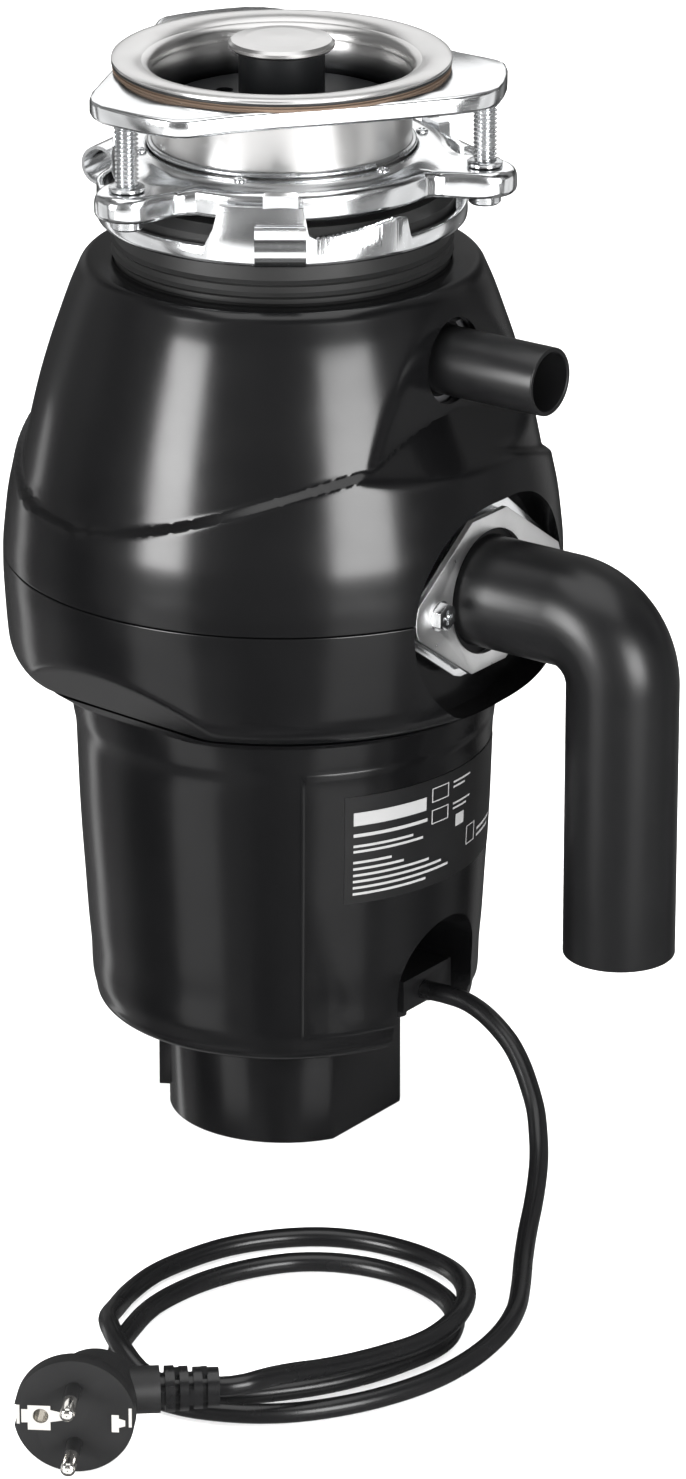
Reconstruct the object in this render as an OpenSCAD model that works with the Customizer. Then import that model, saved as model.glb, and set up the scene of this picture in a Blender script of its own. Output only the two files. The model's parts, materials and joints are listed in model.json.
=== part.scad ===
// Kitchen garbage disposal: sink mount, grinding chamber, induction motor, discharge elbow and mains cord.
// Millimetres. Origin: centre of the foot's underside. +Z up, +X the way the discharge outlet points.

/* [Sink mount] */
// radius of the sink flange's rim
rim_r = 57.15; // [55:0.05:59]
// outer radius of the sink flange's sleeve
sleeve_r = 43.8; // [43.3:0.1:44]
// radius of the circle the three mounting bolts stand on
bolt_circle_r = 70.5; // [70:0.5:72]
// thickness of the backup plate
plate_t = 6.5; // [5:0.5:6.5]
// thickness of the mounting ring's ears
ear_t = 9; // [7:0.5:9]
// radius of the stopper's knob
knob_r = 17.8; // [16:0.2:20]

/* [Shell] */
// wall thickness of the upper and lower shrouds
shroud_wall = 3; // [2.4:0.1:3.2]
// wall thickness of the lower housing
housing_wall = 2.8; // [2:0.1:3]
// radius of the foot
foot_r = 40.7; // [40.5:0.1:40.7]
// half width of the cord arch
arch_r = 22; // [20:0.5:22]

/* [Pipes] */
// outside radius of the discharge elbow
elbow_r = 19.05; // [18.5:0.05:19.5]
// wall of the discharge elbow
elbow_wall = 2.4; // [2:0.1:3]
// outside radius of the dishwasher inlet
inlet_r = 11.65; // [11:0.05:12]
// wall of the dishwasher inlet
inlet_wall = 1.7; // [1.4:0.1:2]

/* [Grinding parts] */
// radius of the turntable
turntable_r = 53.5; // [52:0.1:53.6]
// number of holes through the turntable
turntable_holes = 12; // [8:1:16]
// number of teeth slots in the shredder ring
ring_slots = 24; // [16:4:32]
// radius of the motor shaft
shaft_r = 5.95; // [5.9:0.01:5.95]

/* [Cord] */
// diameter of the mains cord
cord_d = 6.6; // [6:0.1:6.6]

/* [Hidden] */
$fn = 96;

// heights of the sink mount
rim_top = 380.2;
rim_under = 379;
plate_top = 376.5;
plate_bottom = plate_top - plate_t;
ear_top = 347.5;
ear_bottom = ear_top - ear_t;
bolt_angles = [20, 140, 260];
lug_angles = [66, 186, 306];

// heights of the shell
seam_z = 207.5;
shroud_top = 311;
arch_centre_z = 63.4;
foot_flat_x = 35.5;
reset_x = -16;

// pipes
outlet_z = 208;
elbow_leg_x = 140.5;
elbow_bend_r = 22;
elbow_leg_bottom = 90;
inlet_z = 286.3;
inlet_end_x = 110;
pocket_x = 71;
pocket_cone_z = 142;
recess_x = 76;
recess_z = 203.5;
recess_r = 38;
recess_shift = 5;

// outer radius of the lower housing at each height
HOUSING = [[41, 62], [43, 64.5], [46, 66], [52, 67.2], [62, 67.6], [73, 68.5], [88, 69.4], [104, 70.4],
    [119, 71.1], [135, 71.6], [145, 72], [151, 73], [158, 73.5], [163, 73.5]];
panel_rise = 0.5;
panel_half_angle = 48.5;

// outer radius of the lower shroud at each height
BOWL = [[161.5, 79], [164.3, 83.5], [167.2, 88.5], [170.8, 92.3], [175, 94.2], [181, 95], [190, 95.6],
    [200, 96.1], [207.35, 96.1]];

// outer radius of the upper shroud below its swept step, and above it
SKIRT = [[207.65, 96.1], [212, 95.9], [218, 95.3], [228, 94.1], [236, 92.5], [244, 90.8], [252, 89.1],
    [260, 87.3], [268, 85.3]];
DOME = [[207.65, 93.6], [218, 92.8], [228, 91.4], [236, 89.9], [240, 88.9], [249, 87.1], [259, 84.9],
    [269, 82.4], [280, 79.1], [290, 75.7], [300, 72.1], [307, 69], [309.5, 67.6], [310.7, 66.5], [311, 65.5]];
step_low_z = 231.5;
step_curve = 0.003357;
step_angle = -21;

// the two flat scallops cut in the lower shroud's corner
scallop_angles = [-95, 95];
scallop_slope = 50.2;

// mains cord, hand-set points along its middle
CORD = [
    [46, 0, 56], [54, 0, 56], [62, 0, 56], [70, 0, 56.3], [78, -0.5, 56], [86, -2, 54.5], [94, -4, 51.5],
    [101, -6, 47.5], [107, -8.5, 42.5], [112.5, -11.5, 36.5], [117.5, -15, 30.5], [122, -20, 25],
    [126.5, -26, 20], [131, -33.5, 15.5], [136, -43, 11], [142, -55, 7], [150, -69, 4.3], [160, -85, 3.4],
    [169, -101, 3.4], [175, -118, 3.4], [178, -138, 3.4], [177, -158, 3.4], [172, -176, 3.4],
    [164, -192, 3.4], [153, -206, 3.4], [139, -216, 3.4], [122, -222, 3.4], [106, -221, 3.4],
    [91, -213, 3.4], [81, -201, 3.4], [75, -186, 3.4], [71, -170, 3.4], [71, -155, 3.4], [74, -140, 3.4],
    [80, -126, 3.4], [89, -114, 3.4], [101, -106, 3.4], [116, -102, 3.4], [132, -103, 3.4],
    [147, -109, 3.4], [158, -120, 3.4], [164, -136, 3.4], [161, -157, 3.4], [154, -176, 3.4],
    [144, -192, 3.4], [131, -206, 3.4], [116, -214, 3.7], [102, -214.5, 5.8], [90, -210, 9.3],
    [79, -202, 10.3], [70, -192, 8], [63, -179, 4.6], [58, -165, 3.4], [56, -149, 3.4], [58, -134, 3.4],
    [63, -118, 3.4], [72, -104, 3.4], [84, -93, 3.4], [98, -87, 3.4], [113, -85, 3.4], [127.5, -87, 3.8],
    [139.5, -93.2, 5.2], [149.6, -102.6, 7.2], [158, -114, 9.2], [164, -126.5, 10.4],
    [166.8, -140, 10.7], [166.6, -153, 11], [163.6, -167, 11.8], [160.2, -180.5, 13.1],
    [157.2, -193, 15.1], [154.8, -204, 17.5], [153.3, -212, 19.1], [152.2, -218.5, 20.1],
    [150.6, -224, 20.4], [147.7, -228.2, 20.3], [144.6, -230.9, 20.2]
];
cord_sides = 10;

// plug pose: middle of its face, and its turn about the vertical
plug_face = [119.2, -272.9, 19.2];
plug_turn = 31.5;
plug_r = 19.2;
// cord boot, from the plug's face frame: where it starts, its backward slant and its length
boot_start = [25, 19.5, 1];
boot_slant = 9.2;
boot_len = 18.8;

// ---- helpers ----

module rev(points) {
    rotate_extrude() polygon(points);
}

module tube(r_out, r_in, z0, z1) {
    translate([0, 0, z0]) difference() {
        cylinder(r = r_out, h = z1 - z0);
        translate([0, 0, -1]) cylinder(r = r_in, h = z1 - z0 + 2);
    }
}

// a flat shape given in Y and Z, pushed along +X from x0 by h
module along_x(x0, h) {
    translate([x0, 0, 0]) rotate([90, 0, 90]) linear_extrude(h) children();
}

// a round rod along +X
module rod_x(r, x0, x1, y = 0, z = 0) {
    translate([x0, y, z]) rotate([0, 90, 0]) cylinder(r = r, h = x1 - x0);
}

module at_angles(angles) {
    for (a = angles) rotate([0, 0, a]) children();
}

// (radius, height) points of a wall table, with the radius changed by d
function wall_points(t, d = 0) = [for (p = t) [p[1] + d, p[0]]];
function reversed(t) = [for (i = [len(t) - 1:-1:0]) t[i]];
// solid and hollow of a wall table, closed to the axis
function filled(t, d = 0) = concat([[0, t[0][0]]], wall_points(t, d), [[0, t[len(t) - 1][0]]]);

// ---- sink stopper ----

module stopper_knob() {
    color("silver") rev([[0, 382.5], [knob_r - 1, 382.5], [knob_r, 383.5], [knob_r, 384.6],
        [knob_r - 0.9, 385.6], [12, 386.2], [0, 386.6]]);
}

module stopper_post() {
    color("black") rev([[0, 364], [16, 364], [14.5, 366], [14.5, 382.5], [0, 382.5]]);
}

module stopper_body() {
    color("black") difference() {
        rev([[0, 357], [34, 357], [34, 361], [40.8, 361], [40.8, 363], [38, 364], [0, 364]]);
        at_angles([0:60:300]) translate([24, 0, 350]) cylinder(r = 3, h = 20);
    }
}

module stopper_seal() {
    color("dimgray") rev([[34.05, 357.1], [40.6, 357.1], [41.6, 358.4], [41.6, 359.8], [40, 360.95],
        [34.05, 360.95]]);
}

// ---- sink flange and its gaskets ----

module sink_flange() {
    inner = sleeve_r - 1.5;
    color("silver") rev([[rim_r, rim_under], [rim_r, rim_top], [55, rim_top + 0.4], [47, rim_top + 0.2],
        [44.5, 379.4], [43, 377.4], [inner, 374], [inner, 358.2], [inner - 1.6, 356.9],
        [inner - 1.6, 355.9], [inner, 354.6], [inner, 331], [sleeve_r, 331], [sleeve_r, 349.9],
        [sleeve_r - 0.7, 349.9], [sleeve_r - 0.7, 352.1], [sleeve_r, 352.1], [sleeve_r, 374],
        [44.4, 377], [46, 378.6], [47.5, rim_under]]);
}

module rubber_gasket() {
    color("black") tube(rim_r - 0.1, 47.6, 378.1, rim_under);
}

module fiber_gaskets() {
    color("tan") {
        tube(rim_r - 0.35, 46.2, 377.35, 378);
        tube(rim_r - 0.35, 45, plate_top, 377.25);
    }
}

// one third of the backup plate's outline, as turn from its bolt and distance from the axis
PLATE_CORNER = [[-43, 56], [-33, 59.5], [-24, 64.5], [-18, 69.5], [-13, 73.6], [-9, 75.7], [-4, 77],
    [2, 76.4], [8, 76], [14, 75.6], [19, 75], [22, 73], [25, 69.5], [32, 62.5], [44, 56.5], [60, 54.3]];

module backup_plate() {
    outline = [for (a = bolt_angles) for (p = PLATE_CORNER)
        [p[1] * cos(a + p[0]), p[1] * sin(a + p[0])]];
    color("silver") translate([0, 0, plate_bottom]) linear_extrude(plate_t) difference() {
        polygon(outline);
        circle(r = 44.7);
    }
}

// ---- mounting ring, its bolts and the lock ring ----

module mounting_bolt() {
    translate([bolt_circle_r, 0, 0]) {
        translate([0, 0, ear_bottom]) cylinder(r = 4, h = plate_bottom - ear_bottom);
        translate([0, 0, ear_top]) cylinder(r = 6, h = 1.8);
        difference() {
            translate([0, 0, ear_bottom - 4]) cylinder(r = 5.5, h = 4);
            translate([-0.7, -6, ear_bottom - 5]) cube([1.4, 12, 2.5]);
        }
    }
}

module mounting_bolts() {
    color("silver") at_angles(bolt_angles) mounting_bolt();
}

module ear_outline() {
    polygon([[50, -16], [58, -12.5], [bolt_circle_r, -10.8], [bolt_circle_r, 10.8], [58, 12.5], [50, 16]]);
    translate([bolt_circle_r, 0]) circle(r = 10.8);
}

module mounting_ring() {
    color("silver") difference() {
        union() {
            rev([[45.2, 338.5], [45.2, 349.8], [47, 350], [50, 350], [54, 349], [56.3, 347.3],
                [57.3, 344.5], [57.3, 338.5]]);
            at_angles(bolt_angles) translate([0, 0, ear_bottom]) linear_extrude(ear_t) ear_outline();
            at_angles([50:60:350]) translate([48.4, 0, 349]) cylinder(r = 1.8, h = 1.8);
        }
        at_angles(bolt_angles) translate([bolt_circle_r, 0, ear_bottom - 1])
            cylinder(r = 4.05, h = ear_t + 2);
        translate([0, 0, 330]) cylinder(r = 45.2, h = 30);
    }
}

module snap_ring() {
    color("gray") rotate([0, 0, 10]) rotate_extrude(angle = 340)
        translate([44.35, 351]) circle(r = 1.1, $fn = 24);
}

// a wall from turn a0 to a1, given in radius and height
module ring_arc(a0, a1, points) {
    rotate([0, 0, a0]) rotate_extrude(angle = a1 - a0) polygon(points);
}

// clears the lock ring's wall above height z from turn a0 to a1
module lock_gap(a0, a1, z) {
    ring_arc(a0, a1, [[50, z], [70, z], [70, 360], [50, 360]]);
}

module lock_lug() {
    lug_x = 67.4;
    lug_z = 333.8;
    lug_len = 17;
    difference() {
        translate([lug_x, lug_len / 2, lug_z]) rotate([90, 0, 0]) cylinder(r = 6.9, h = lug_len);
        translate([lug_x, lug_len / 2 + 1, lug_z]) rotate([90, 0, 0]) cylinder(r = 5.7, h = lug_len + 2);
        translate([0, 0, 300]) cylinder(r = 61, h = 60);
    }
}

module lock_ring() {
    color("silver") {
        difference() {
            tube(62.5, 60.2, 325, 345.5);
            at_angles(lug_angles) {
                lock_gap(8, 98, 337.2);
                lock_gap(7, 22, 335);
                lock_gap(41, 99, 331);
            }
        }
        tube(60.3, 56.7, 325, 326.6);
        at_angles(lug_angles) {
            translate([57.6, -6, 344.5]) cube([4.8, 12, 5]);
            lock_lug();
        }
    }
}

module rubber_mount() {
    color("black") rev([[53.7, 306.6], [57, 307.2], [57, 312.4], [58, 313.5], [57, 314.6], [57, 316.6],
        [58, 317.7], [57, 318.8], [56.2, 325], [56.2, 327.2], [58.6, 327.2], [58.6, 333.5], [56, 336.6],
        [46.5, 337.6], [44.1, 337], [44.1, 334], [50.4, 331], [50.4, 327.1], [53.7, 327.1]]);
}

module splash_guard() {
    color("dimgray") difference() {
        rev([[50.2, 326.8], [45, 329.5], [42, 329.5], [12, 319], [12, 317], [42, 326], [45, 326],
            [50.2, 324]]);
        at_angles([0:60:300]) translate([10, -0.4, 300]) cube([28, 0.8, 40]);
    }
}

// ---- shell ----

// everything under the swept step, which rises and falls twice around the body
module below_step() {
    reach = 110;
    curve = [for (u = [-reach:5:reach]) [u, step_low_z + step_curve * u * u]];
    rotate([0, 0, step_angle]) translate([0, reach, 0]) rotate([90, 0, 0])
        linear_extrude(2 * reach) polygon(concat([[-reach, 200]], curve, [[reach, 200]]));
}

// scooped pocket round the dishwasher inlet, grown inwards by g
module inlet_pocket(g = 0) {
    cone_x = 60;
    cone_len = 50;
    difference() {
        translate([pocket_x - g, -70, 230]) cube([60, 140, 100]);
        translate([cone_x, 0, pocket_cone_z]) rotate([0, 90, 0])
            cylinder(r1 = 135.7 - g, r2 = 94.2 - g, h = cone_len);
        translate([cone_x + cone_len, -80, 200]) cube([30, 160, 50]);
    }
}

// recess the outlet flange sits in, grown by g
module outlet_recess(g = 0) {
    along_x(recess_x - g, 60) {
        translate([recess_shift, recess_z]) circle(r = recess_r + g);
        translate([-recess_shift, recess_z]) circle(r = recess_r + g);
        translate([-recess_shift, recess_z - recess_r - g]) square([2 * recess_shift, 2 * (recess_r + g)]);
    }
}

module outlet_neck_hole() {
    rod_x(26, 60, 90, 0, outlet_z);
}

module upper_shroud() {
    inside = concat([[0, 200], [92.9, 200], [92.9, 214]],
        [for (p = DOME) if (p[0] > 214 && p[0] < 308) [p[1] - shroud_wall - 0.2, p[0]]],
        [[64, 308], [0, 308]]);
    color("black") difference() {
        union() {
            intersection() {
                rev(filled(SKIRT));
                below_step();
            }
            rev(filled(DOME));
        }
        inlet_pocket();
        outlet_recess();
        outlet_neck_hole();
        rod_x(14.8, 55, 90, 0, inlet_z);
        difference() {
            rev(inside);
            inlet_pocket(shroud_wall);
            outlet_recess(2.5);
        }
        translate([0, 0, 300]) cylinder(r = 57.5, h = 20);
    }
}

// the half space outside one scallop, moved inwards by g
module scallop_side(g = 0) {
    at_angles(scallop_angles) translate([95, 0, 185.4]) rotate([0, 90 - scallop_slope, 0])
        translate([-g, -90, -90]) cube([90, 180, 108]);
}

module lower_shroud() {
    inside = concat([[0, 150], [74.2, 150], [74.2, 164.5], [78, 165.2]],
        [for (p = BOWL) if (p[0] > 164 && p[0] < 190) [p[1] - shroud_wall, p[0] + 2]],
        [[93.1, 200], [93.1, 210], [0, 210]]);
    color("black") difference() {
        union() {
            rev(filled(BOWL));
            tube(92.6, 90.6, 199, 213);
        }
        scallop_side();
        outlet_recess();
        outlet_neck_hole();
        difference() {
            rev(inside);
            tube(94, 90.6, 199, 213);
            scallop_side(shroud_wall);
            outlet_recess(2.5);
        }
        translate([0, 0, 150]) cylinder(r = 74.2, h = 14.5);
        intersection() {
            outlet_recess(2.8);
            translate([0, -80, seam_z]) cube([110, 160, 10]);
        }
        rotate([0, 0, -33]) translate([75, -2, 160]) cube([6, 4, 3.5]);
    }
}

// the arch the cord leaves through, wider by g
module arch_shape(g = 0) {
    translate([0, arch_centre_z]) circle(r = arch_r + g);
    translate([-arch_r - g, 30]) square([2 * (arch_r + g), arch_centre_z - 30]);
}

module lower_housing() {
    inside = concat([[0, 44], [61.4, 44]],
        [for (p = HOUSING) if (p[0] > 47) [p[1] - housing_wall, p[0]]], [[70.7, 170], [0, 170]]);
    liner = 2;
    color("black") difference() {
        union() {
            rev(filled(HOUSING));
            ring_arc(-panel_half_angle, panel_half_angle, concat([[60, 50]],
                [for (p = HOUSING) if (p[0] > 50 && p[0] < 156) [p[1] + panel_rise, p[0]]], [[60, 151]]));
        }
        difference() {
            rev(inside);
            along_x(foot_flat_x - liner, 60) arch_shape(liner);
        }
        along_x(foot_flat_x, 60) arch_shape();
        difference() {
            translate([0, 0, 30]) cylinder(r = foot_r + 0.15, h = 14.5);
            along_x(foot_flat_x - liner, 60) arch_shape(liner);
        }
    }
}

module foot_outline(r) {
    intersection() {
        circle(r = r);
        translate([-60, -60]) square([60 + foot_flat_x, 120]);
    }
}

module foot_cover() {
    wall = 2.5;
    color("black") difference() {
        union() {
            linear_extrude(40.9) foot_outline(foot_r);
            translate([0, 0, 40.9]) linear_extrude(3.2) intersection() {
                circle(r = foot_r - 0.1);
                translate([-60, -60]) square([91, 120]);
            }
            translate([0, 0, 44.1]) linear_extrude(2.4) intersection() {
                circle(r = 45);
                translate([-60, -60]) square([91, 120]);
            }
            rotate([0, 0, 210]) translate([foot_r - 1, -3, 4]) cube([4.6, 6, 26]);
        }
        translate([0, 0, 3]) linear_extrude(50) intersection() {
            circle(r = foot_r - wall);
            translate([-60, -60]) square([60 + foot_flat_x - wall, 120]);
        }
        translate([reset_x, 0, -1]) cylinder(r = 4.4, h = 6);
        at_angles([60, 180, 300]) translate([33, 0, -1]) cylinder(r = 1.8, h = 6);
        at_angles([60, 180, 300]) translate([33, 0, -1]) cylinder(r = 3.6, h = 2.3);
    }
}

module rating_label() {
    label_t = 0.25;
    glue_gap = 0.05;
    label = [[100.7, 70.18], [104, 70.4], [119, 71.1], [135, 71.6], [140.3, 71.81]];
    d = panel_rise + glue_gap;
    color("dimgray") ring_arc(-37, 30.5,
        concat(wall_points(label, d), reversed(wall_points(label, d + label_t))));
}

module sound_jacket() {
    color("dimgray") difference() {
        tube(66.8, 63.2, 241, 297);
        translate([66.4, -60, 200]) cube([20, 120, 110]);
        rod_x(13, 50, 80, 0, inlet_z);
    }
}

// ---- grinding chamber and discharge ----

module grind_chamber() {
    color("silver") difference() {
        rev([[57.2, 230], [72, 230], [72, 234], [62.5, 234], [62.5, 299.5], [53.6, 306], [53.6, 327],
            [50.6, 327], [50.6, 305], [59.6, 298.2], [59.6, 255], [57.2, 255]]);
        rod_x(inlet_r - inlet_wall, 50, 80, 0, inlet_z);
        at_angles([30:60:330]) translate([67.5, 0, 220]) cylinder(r = 2.1, h = 20);
    }
}

module shredder_ring() {
    color("gray") difference() {
        tube(57.1, 54.2, 230.2, 254.5);
        at_angles([for (i = [0:ring_slots - 1]) i * 360 / ring_slots])
            translate([53, -1.6, 230]) cube([2.7, 3.2, 18]);
    }
}

module neck_outline() {
    polygon([[-38, -5], [-33, -9], [-14, -21], [14, -21], [33, -9], [38, -5], [38, 5], [33, 9],
        [14, 21], [-14, 21], [-33, 9], [-38, 5]]);
}

module discharge_chamber() {
    color("silver") difference() {
        union() {
            rev([[0, 171], [16, 171], [16, 182], [69.5, 182], [69.5, 224], [72, 225.5], [72, 229.9],
                [0, 229.9]]);
            rod_x(21.8, 50, 80, 0, outlet_z);
            along_x(76.2, 3.8) translate([0, outlet_z]) neck_outline();
        }
        rev([[0, 198], [14, 198], [17, 190], [64, 186], [66, 188], [66, 235], [0, 235]]);
        rev([[0, 160], [11.1, 160], [11.1, 181], [8.5, 181], [8.5, 210], [0, 210]]);
        rod_x(18.5, 50, 90, 0, outlet_z);
        for (y = [-30, 30]) rod_x(2.6, 70, 90, y, outlet_z);
        at_angles([30:60:330]) translate([67.5, 0, 220]) cylinder(r = 1.9, h = 20);
    }
}

module inlet_tube() {
    color("black") difference() {
        rod_x(inlet_r, 63.4, inlet_end_x, 0, inlet_z);
        rod_x(inlet_r - inlet_wall, 50, inlet_end_x + 1, 0, inlet_z);
        translate([0, 0, 250]) cylinder(r = 62.6, h = 80);
    }
}

module outlet_gasket() {
    color("black") difference() {
        rod_x(24.8, 80, 82.2, 0, outlet_z);
        rod_x(18.6, 79, 84, 0, outlet_z);
    }
}

module outlet_backplate() {
    color("silver") along_x(80.1, 1.5) difference() {
        polygon([for (p = [[41.6, 6], [39, 10], [17, 28], [11, 30], [-11, 30], [-17, 28], [-39, 10],
            [-41.6, 6], [-41.6, -6], [-39, -10], [-14, -27.5], [-10, -29], [10, -29], [14, -27.5],
            [39, -10], [41.6, -6]]) [p[0], p[1] + outlet_z]]);
        translate([0, outlet_z]) circle(r = 25.2);
        for (y = [-30, 30]) translate([y, outlet_z]) circle(r = 2.7);
    }
}

module outlet_flange() {
    color("silver") along_x(84, 2.2) difference() {
        polygon([for (p = [[42.2, 2.5], [41, 5.8], [10, 27.2], [-10, 27.2], [-41, 5.8], [-42.2, 2.5],
            [-42.2, -2.5], [-41, -5.8], [-10, -27], [10, -27], [41, -5.8], [42.2, -2.5]])
            [p[0], p[1] + outlet_z]]);
        translate([0, outlet_z]) circle(r = 21.6);
        for (y = [-30, 30]) translate([y, outlet_z]) circle(r = 2.7);
    }
}

module outlet_screws() {
    color("silver") for (y = [-30, 30]) difference() {
        union() {
            rod_x(2.5, 76.4, 87, y, outlet_z);
            rod_x(5.2, 86.2, 87.2, y, outlet_z);
            translate([87.2, y, outlet_z]) rotate([0, 90, 0]) cylinder(r = 4.9, h = 3, $fn = 6);
        }
        translate([89, y - 2.6, outlet_z - 0.6]) cube([2, 5.2, 1.2]);
        translate([89, y - 0.6, outlet_z - 2.6]) cube([2, 1.2, 5.2]);
    }
}

module elbow_solid(r, x0, z0) {
    rod_x(r, x0, elbow_leg_x - elbow_bend_r, 0, outlet_z);
    translate([elbow_leg_x - elbow_bend_r, 0, outlet_z - elbow_bend_r]) rotate([90, 0, 0])
        rotate_extrude(angle = 90) translate([elbow_bend_r, 0]) circle(r = r);
    translate([elbow_leg_x, 0, z0]) cylinder(r = r, h = outlet_z - elbow_bend_r - z0);
}

module discharge_elbow() {
    color("black") difference() {
        union() {
            elbow_solid(elbow_r, 82.2, elbow_leg_bottom);
            rod_x(24, 82.2, 84, 0, outlet_z);
        }
        elbow_solid(elbow_r - elbow_wall, 82, elbow_leg_bottom - 1);
    }
}

// ---- turntable and impellers ----

impeller_r = 31;

module turntable() {
    color("silver") difference() {
        rev([[shaft_r + 0.02, 218], [9, 218], [9, 226], [turntable_r, 226], [turntable_r, 229],
            [shaft_r + 0.02, 229]]);
        at_angles([for (i = [0:turntable_holes - 1]) (i + 0.5) * 360 / turntable_holes])
            translate([44, 0, 220]) cylinder(r = 2.5, h = 12);
        at_angles([0, 180]) translate([impeller_r, 0, 220]) cylinder(r = 4, h = 12);
    }
}

module turntable_nut() {
    color("gray") difference() {
        translate([0, 0, 229]) cylinder(r = 8, h = 4.5, $fn = 6);
        translate([0, 0, 228]) cylinder(r = 5.02, h = 8);
    }
}

module impeller() {
    translate([impeller_r, 0, 229.2]) difference() {
        union() {
            linear_extrude(3.6) {
                circle(r = 8.5);
                polygon([[0, -8.5], [14, -6], [14, 6], [0, 8.5]]);
                translate([12, 0]) circle(r = 6.5);
            }
            translate([12.5, -4.5, 0]) cube([4, 9, 13]);
        }
        translate([0, 0, -1]) cylinder(r = 4.08, h = 10);
    }
}

module impeller_a() {
    color("silver") impeller();
}

module impeller_b() {
    color("silver") rotate([0, 0, 180]) impeller();
}

module impeller_pins() {
    color("gray") at_angles([0, 180]) translate([impeller_r, 0, 0]) {
        translate([0, 0, 226]) cylinder(r = 4, h = 7);
        translate([0, 0, 233]) cylinder(r = 6, h = 1.6);
    }
}

// ---- motor ----

module motor_shaft() {
    color("silver") {
        translate([0, 0, 74.2]) cylinder(r = shaft_r, h = 229 - 74.2);
        translate([0, 0, 229]) cylinder(r = 5, h = 7);
    }
}

module rotor_core() {
    color("gray") tube(32.5, shaft_r + 0.02, 112, 152);
}

module stator_core() {
    color("gray") difference() {
        tube(59.9, 33, 112, 152);
        at_angles([0:30:330]) translate([36, -2.5, 111]) cube([14, 5, 42]);
    }
}

module stator_windings() {
    color("brown") {
        rev([[37, 98], [54, 98], [56, 101], [56, 111.9], [35, 111.9], [35, 101]]);
        rev([[37, 166], [54, 166], [56, 163], [56, 152.1], [35, 152.1], [35, 163]]);
        at_angles([0:30:330]) translate([36.2, -2.3, 112]) cube([13.6, 4.6, 40]);
    }
}

module motor_shell() {
    color("gray") tube(61.5, 60, 92, 181.9);
}

module lower_end_bell() {
    color("silver") rev([[0, 70], [15.5, 70], [15.5, 86], [20, 88.2], [61.5, 88.2], [61.5, 91.9],
        [16, 91.9], [11.1, 89.5], [11.1, 73.9], [0, 73.9]]);
}

module bearing(z0, z1) {
    tube(11.05, shaft_r + 0.05, z0, z1);
}

module upper_bearing() {
    color("tan") bearing(172, 180.8);
}

module lower_bearing() {
    color("tan") bearing(75, 87);
}

module shaft_seal() {
    color("black") rev([[shaft_r + 0.05, 184], [8.45, 184], [8.45, 197.5], [shaft_r + 0.05, 197.5]]);
}

module housing_screws() {
    color("gray") at_angles([30:60:330]) translate([67.5, 0, 0]) {
        translate([0, 0, 224.8]) cylinder(r = 1.85, h = 9.2);
        translate([0, 0, 234]) cylinder(r = 3.6, h = 2.6);
    }
}

module foot_screws() {
    color("gray") at_angles([60, 180, 300]) translate([33, 0, 0]) {
        translate([0, 0, 1.2]) cylinder(r = 1.6, h = 8);
        translate([0, 0, 0.3]) cylinder(r = 3.3, h = 0.9);
    }
}

// ---- electrics ----

module start_switch() {
    color("dimgray") translate([-38, -12, 46.6]) {
        cube([18, 24, 16]);
        translate([4, 6, 16]) cube([10, 12, 5]);
    }
}

module terminal_block() {
    color("ivory") difference() {
        translate([-14, 20, 46.6]) cube([26, 14, 11]);
        for (i = [0:2]) translate([-9.5 + 8.5 * i, 27, 52]) cylinder(r = 2.2, h = 8);
    }
}

module ground_screw() {
    color("green") translate([14, -28, 0]) {
        translate([0, 0, 80]) cylinder(r = 2, h = 8.2);
        translate([0, 0, 77.4]) cylinder(r = 4, h = 2.6, $fn = 6);
    }
}

module overload_protector() {
    color("dimgray") translate([reset_x, 0, 0])
        rev([[5.7, 3.2], [7.6, 3.2], [7.6, 15], [12, 15], [12, 38], [0, 38], [0, 16], [5.7, 16]]);
}

module reset_button() {
    color("red") translate([reset_x, 0, 0])
        rev([[0, 1], [3.6, 1], [4, 1.4], [4, 6], [5.4, 6], [5.4, 8], [4, 8], [4, 12], [0, 12]]);
}

module cord_clamp() {
    color("black") difference() {
        union() {
            translate([35.6, -12, 53.5]) cube([24.4, 28, 9]);
            translate([48, -12, 51]) cube([12, 28, 2.5]);
            for (y = [-7, 11]) translate([54, y, 47.5]) cylinder(r = 3, h = 3.5);
        }
        rod_x(cord_d / 2 + 0.05, 46, 70, 0, 56);
    }
}

// ---- cord and plug ----

function unit(v) = v / norm(v);
function ahead(p, i) = unit(p[min(i + 1, len(p) - 1)] - p[max(i - 1, 0)]);

// one closed tube through the points, with level rings that never twist
module swept_tube(p, r, sides) {
    rings = [for (i = [0:len(p) - 1])
        let (t = ahead(p, i), side = unit(cross([0, 0, 1], t)), up = cross(t, side))
        for (k = [0:sides - 1])
            let (a = (k + 0.5) * 360 / sides) p[i] + r * cos(a) * side + r * sin(a) * up];
    walls = [for (i = [0:len(p) - 2]) for (k = [0:sides - 1])
        let (a = i * sides + k, b = i * sides + (k + 1) % sides) [a, b, b + sides, a + sides]];
    first = [for (k = [sides - 1:-1:0]) k];
    last = [for (k = [0:sides - 1]) (len(p) - 1) * sides + k];
    polyhedron(points = rings,
        faces = concat([reversed(first)], [for (w = walls) reversed(w)], [reversed(last)]));
}

module power_cord() {
    color("black") swept_tube(CORD, cord_d / 2, cord_sides);
}

module in_plug() {
    translate(plug_face) rotate([0, 0, plug_turn]) children();
}

module in_boot() {
    in_plug() translate(boot_start) rotate([0, 0, boot_slant]) children();
}

// a round rod along the plug's depth, from y0 to y1 behind its face
module rod_y(r, x, z, y0, y1, r_end = 0) {
    translate([x, y0, z]) rotate([-90, 0, 0]) cylinder(r1 = r, r2 = r_end == 0 ? r : r_end, h = y1 - y0);
}

// radius of a pin's root inside the plug
pin_root_r = 2;
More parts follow.
